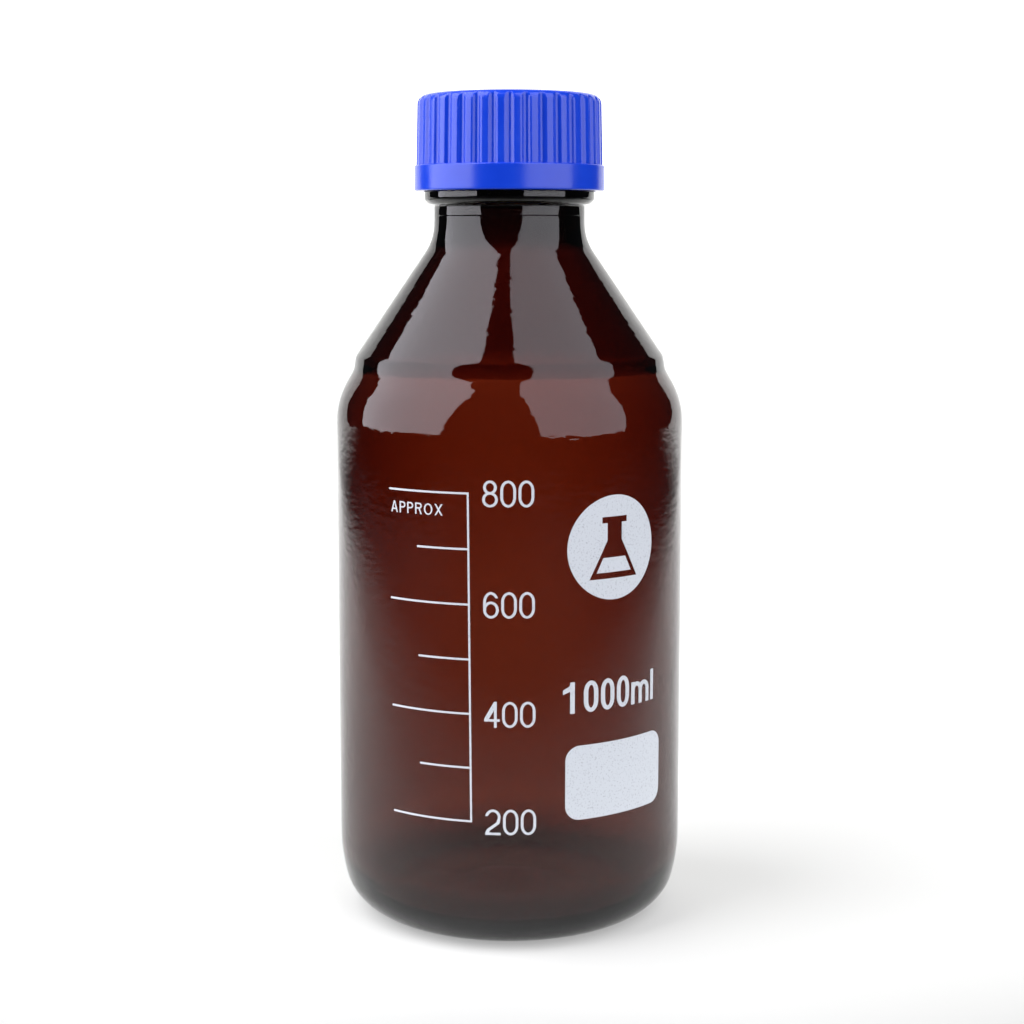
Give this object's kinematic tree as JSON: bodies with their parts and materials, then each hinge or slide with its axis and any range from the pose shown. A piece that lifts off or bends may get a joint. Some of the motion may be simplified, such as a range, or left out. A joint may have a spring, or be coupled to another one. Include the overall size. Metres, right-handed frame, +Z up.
{
  "type": "reagent bottle",
  "caption": "Amber glass laboratory bottle with sloping shoulder, printed volume scale, blue ribbed screw cap, pouring ring and flat seal.",
  "frame": {"origin": "middle of the foot ring, on the plane the bottle stands on", "axes": "+Z up along the bottle's axis; the printed scale faces -Y; +X is to the viewer's right"},
  "size_m": [0.098, 0.0981, 0.2298],
  "materials": {
    "amber_glass": "clear, stained amber, fire polished",
    "blue_plastic": "moulded polypropylene, semi-gloss",
    "silicone": "matt",
    "ptfe": "waxy",
    "white_enamel": "fired screen-printed enamel, satin"
  },
  "bodies": {
    "bottle": {"glass_bottle": "amber_glass", "pouring_ring": "blue_plastic", "scale_lines": "white_enamel", "numeral_200": "white_enamel", "numeral_400": "white_enamel", "numeral_600": "white_enamel", "numeral_800": "white_enamel", "approx_mark": "white_enamel", "capacity_mark": "white_enamel", "emblem": "white_enamel", "writing_panel": "white_enamel"},
    "seal": {"seal_disc_silicone": "silicone", "seal_face_ptfe": "ptfe"},
    "cap": {"screw_cap": "blue_plastic"}
  },
  "joints": [
    {"name": "cap_lift", "type": "slide", "parent": "bottle", "child": "seal", "axis": [0, 0, 1], "range_m": [0, 0.0241]},
    {"name": "cap_turn", "type": "hinge", "parent": "seal", "child": "cap", "pos_m": [0, 0, 0.2036], "axis": [0, 0, 1], "range_deg": [0, 2160]}
  ],
  "couplings": [
    {"joint": "cap_lift", "follows": "cap_turn", "m_per_rad": 0.00063662}
  ]
}
